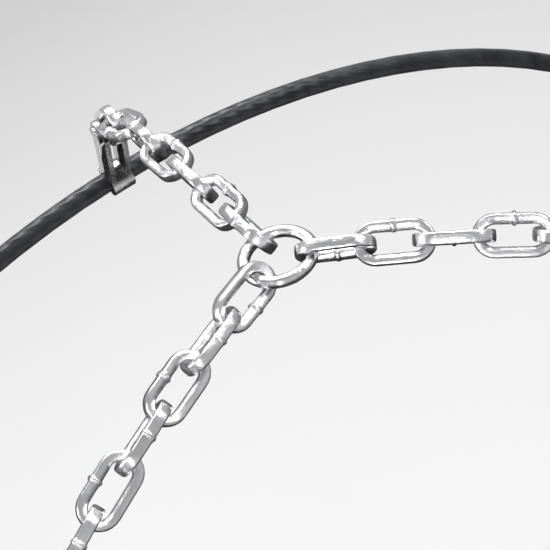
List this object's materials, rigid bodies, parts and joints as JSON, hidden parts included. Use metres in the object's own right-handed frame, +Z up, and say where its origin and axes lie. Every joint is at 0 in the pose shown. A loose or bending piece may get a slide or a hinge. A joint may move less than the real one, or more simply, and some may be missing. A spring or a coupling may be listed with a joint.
{
  "type": "snow chain",
  "caption": "Diamond-pattern snow chain for one car wheel, with junction rings, inner cable, side chain, closing hook and ratchet tension lock.",
  "frame": {"origin": "centre of the wheel that the chain is fitted to", "axes": "+Y along the wheel's axis towards the outer side, +Z up through the pictured junction ring's cell"},
  "size_m": [0.6792, 0.272, 0.6792],
  "materials": {
    "zinc_link": "bright zinc plate",
    "zinc_ring": "bright zinc plate",
    "zinc_side_link": "zinc plate",
    "cable_sheath": "extruded sheath",
    "ferrule_steel": "crimped, zinc plate",
    "forged_steel": "stamped, zinc plate",
    "lock_housing": "moulded",
    "spring_steel": "blued strip"
  },
  "bodies": {
    "root": {"junction_ring": "zinc_ring", "inner_row_rings": "zinc_ring", "outer_row_rings": "zinc_ring", "side_rings": "zinc_ring", "short_diagonals": "zinc_link", "long_diagonals": "zinc_link", "inner_cross_strands": "zinc_link", "outer_cross_strands": "zinc_link", "inner_cable": "cable_sheath", "cable_ferrule_hook": "ferrule_steel", "cable_ferrule_catch": "ferrule_steel", "cable_pins": "forged_steel", "cable_clip": "forged_steel", "cable_clip_pin": "forged_steel", "cable_clips": "forged_steel", "cable_clip_pins": "forged_steel", "side_chain": "zinc_side_link", "tension_chain": "zinc_side_link", "lock_eye_chain": "zinc_side_link", "lock_base": "lock_housing", "lock_cover": "lock_housing", "lock_rivets": "forged_steel", "pawl_pin": "forged_steel", "pawl_spring": "spring_steel"},
    "shoulder_link_1": {"shoulder_link_1": "zinc_link"},
    "shoulder_link_2": {"shoulder_link_2": "zinc_link"},
    "shoulder_link_3": {"shoulder_link_3": "zinc_link"},
    "shoulder_link_4": {"shoulder_link_4": "zinc_link"},
    "shoulder_link_5": {"shoulder_link_5": "zinc_link"},
    "shoulder_link_6": {"shoulder_link_6": "zinc_link"},
    "shoulder_link_7": {"shoulder_link_7": "zinc_link"},
    "short_diagonal_link_1": {"short_diagonal_link_1": "zinc_link"},
    "short_diagonal_link_2": {"short_diagonal_link_2": "zinc_link"},
    "short_diagonal_link_3": {"short_diagonal_link_3": "zinc_link"},
    "short_diagonal_link_4": {"short_diagonal_link_4": "zinc_link"},
    "short_diagonal_link_5": {"short_diagonal_link_5": "zinc_link"},
    "short_diagonal_link_6": {"short_diagonal_link_6": "zinc_link"},
    "long_diagonal_link_1": {"long_diagonal_link_1": "zinc_link"},
    "long_diagonal_link_2": {"long_diagonal_link_2": "zinc_link"},
    "long_diagonal_link_3": {"long_diagonal_link_3": "zinc_link"},
    "long_diagonal_link_4": {"long_diagonal_link_4": "zinc_link"},
    "long_diagonal_link_5": {"long_diagonal_link_5": "zinc_link"},
    "long_diagonal_link_6": {"long_diagonal_link_6": "zinc_link"},
    "long_diagonal_link_7": {"long_diagonal_link_7": "zinc_link"},
    "long_diagonal_link_8": {"long_diagonal_link_8": "zinc_link"},
    "long_diagonal_link_9": {"long_diagonal_link_9": "zinc_link"},
    "long_diagonal_link_10": {"long_diagonal_link_10": "zinc_link"},
    "tail_link_1": {"tail_link_1": "zinc_side_link"},
    "tail_link_2": {"tail_link_2": "zinc_side_link"},
    "tail_hook": {"tail_hook": "forged_steel"},
    "lock_pawl": {"lock_pawl": "forged_steel"},
    "cable_hook": {"cable_hook": "forged_steel"},
    "closing_hook": {"closing_hook": "forged_steel"}
  },
  "joints": [
    {"name": "shoulder_link_1_twist", "type": "hinge", "parent": "root", "child": "shoulder_link_1", "pos_m": [0, -0.0121, 0.33282], "axis": [0, -0.9998, -0.0202], "range_deg": [-2, 4]},
    {"name": "shoulder_link_2_twist", "type": "hinge", "parent": "root", "child": "shoulder_link_2", "pos_m": [0, -0.02839, 0.33227], "axis": [0, -0.9989, -0.0473], "range_deg": [-4, 4]},
    {"name": "shoulder_link_3_twist", "type": "hinge", "parent": "root", "child": "shoulder_link_3", "pos_m": [0, -0.04466, 0.33128], "axis": [0, -0.9972, -0.0744], "range_deg": [-4, 4]},
    {"name": "shoulder_link_4_twist", "type": "hinge", "parent": "root", "child": "shoulder_link_4", "pos_m": [0, -0.06089, 0.32985], "axis": [0, -0.9948, -0.1015], "range_deg": [-4, 4]},
    {"name": "shoulder_link_5_twist", "type": "hinge", "parent": "root", "child": "shoulder_link_5", "pos_m": [0, -0.07707, 0.32792], "axis": [0, -0.9908, -0.1354], "range_deg": [-4, 4]},
    {"name": "shoulder_link_6_twist", "type": "hinge", "parent": "root", "child": "shoulder_link_6", "pos_m": [0, -0.09268, 0.32382], "axis": [0, -0.9293, -0.3694], "range_deg": [-4, 4]},
    {"name": "shoulder_link_7_twist", "type": "hinge", "parent": "root", "child": "shoulder_link_7", "pos_m": [0, -0.10633, 0.31549], "axis": [0, -0.7532, -0.6578], "range_deg": [-2, 2]},
    {"name": "short_diagonal_link_1_twist", "type": "hinge", "parent": "root", "child": "short_diagonal_link_1", "pos_m": [-0.01328, 0.01308, 0.33251], "axis": [-0.8244, 0.5642, -0.0452], "range_deg": [-4, 2]},
    {"name": "short_diagonal_link_2_twist", "type": "hinge", "parent": "root", "child": "short_diagonal_link_2", "pos_m": [-0.02667, 0.02227, 0.33143], "axis": [-0.821, 0.5642, -0.0871], "range_deg": [-4, 4]},
    {"name": "short_diagonal_link_3_twist", "type": "hinge", "parent": "root", "child": "short_diagonal_link_3", "pos_m": [-0.04, 0.03145, 0.32967], "axis": [-0.8155, 0.5643, -0.1288], "range_deg": [-4, 4]},
    {"name": "short_diagonal_link_4_twist", "type": "hinge", "parent": "root", "child": "short_diagonal_link_4", "pos_m": [-0.05321, 0.04064, 0.32724], "axis": [-0.8078, 0.5644, -0.1702], "range_deg": [-4, 4]},
    {"name": "short_diagonal_link_5_twist", "type": "hinge", "parent": "root", "child": "short_diagonal_link_5", "pos_m": [-0.06629, 0.04984, 0.32413], "axis": [-0.7979, 0.5646, -0.2112], "range_deg": [-4, 4]},
    {"name": "short_diagonal_link_6_twist", "type": "hinge", "parent": "root", "child": "short_diagonal_link_6", "pos_m": [-0.07918, 0.05903, 0.32036], "axis": [-0.7859, 0.5647, -0.2518], "range_deg": [-2, 4]},
    {"name": "long_diagonal_link_1_twist", "type": "hinge", "parent": "root", "child": "long_diagonal_link_1", "pos_m": [0.01501, 0.00977, 0.33249], "axis": [0.9324, 0.3584, -0.0479], "range_deg": [-4, 1]},
    {"name": "long_diagonal_link_2_twist", "type": "hinge", "parent": "root", "child": "long_diagonal_link_2", "pos_m": [0.03016, 0.0156, 0.33133], "axis": [0.9288, 0.3584, -0.0939], "range_deg": [-4, 4]},
    {"name": "long_diagonal_link_3_twist", "type": "hinge", "parent": "root", "child": "long_diagonal_link_3", "pos_m": [0.04524, 0.02144, 0.32943], "axis": [0.923, 0.3585, -0.1397], "range_deg": [-4, 4]},
    {"name": "long_diagonal_link_4_twist", "type": "hinge", "parent": "root", "child": "long_diagonal_link_4", "pos_m": [0.0602, 0.02727, 0.32679], "axis": [0.915, 0.3585, -0.1851], "range_deg": [-4, 4]},
    {"name": "long_diagonal_link_5_twist", "type": "hinge", "parent": "root", "child": "long_diagonal_link_5", "pos_m": [0.07501, 0.03311, 0.32341], "axis": [0.9047, 0.3586, -0.2302], "range_deg": [-4, 4]},
    {"name": "long_diagonal_link_6_twist", "type": "hinge", "parent": "root", "child": "long_diagonal_link_6", "pos_m": [0.08964, 0.03895, 0.3193], "axis": [0.8921, 0.3588, -0.2747], "range_deg": [-4, 4]},
    {"name": "long_diagonal_link_7_twist", "type": "hinge", "parent": "root", "child": "long_diagonal_link_7", "pos_m": [0.10404, 0.04479, 0.31447], "axis": [0.8773, 0.3589, -0.3186], "range_deg": [-4, 4]},
    {"name": "long_diagonal_link_8_twist", "type": "hinge", "parent": "root", "child": "long_diagonal_link_8", "pos_m": [0.11819, 0.05064, 0.30893], "axis": [0.8604, 0.3591, -0.3617], "range_deg": [-4, 4]},
    {"name": "long_diagonal_link_9_twist", "type": "hinge", "parent": "root", "child": "long_diagonal_link_9", "pos_m": [0.13204, 0.05649, 0.30269], "axis": [0.8412, 0.3592, -0.404], "range_deg": [-4, 4]},
    {"name": "long_diagonal_link_10_twist", "type": "hinge", "parent": "root", "child": "long_diagonal_link_10", "pos_m": [0.14556, 0.06234, 0.29578], "axis": [0.82, 0.3594, -0.4454], "range_deg": [-1.5, 4]},
    {"name": "tail_link_1_swing", "type": "hinge", "parent": "root", "child": "tail_link_1", "pos_m": [0.24898, 0.1284, -0.05991], "axis": [-1, 0, 0], "range_deg": [-8, 40]},
    {"name": "tail_link_2_swing", "type": "hinge", "parent": "tail_link_1", "child": "tail_link_2", "pos_m": [0.24898, 0.1284, -0.08068], "axis": [0, 1, 0], "range_deg": [-30, 8]},
    {"name": "tail_hook_swing", "type": "hinge", "parent": "tail_link_2", "child": "tail_hook", "pos_m": [0.24898, 0.1284, -0.10145], "axis": [-1, 0, 0], "range_deg": [-8, 40]},
    {"name": "pawl_lift", "type": "hinge", "parent": "root", "child": "lock_pawl", "pos_m": [0.25495, 0.13361, -0.00406], "axis": [0.9939, 0, -0.11], "range_deg": [0, 30], "stiffness_Nm_per_rad": 0.02, "springref_deg": -20, "deforming": ["pawl_spring"]},
    {"name": "cable_hook_turn", "type": "hinge", "parent": "root", "child": "cable_hook", "pos_m": [-0.08408, -0.1232, -0.2694], "axis": [0, 1, 0], "range_deg": [0, 60]},
    {"name": "closing_hook_turn", "type": "hinge", "parent": "root", "child": "closing_hook", "pos_m": [-0.03929, 0.1232, -0.242], "axis": [0, 1, 0], "range_deg": [0, 25]}
  ]
}
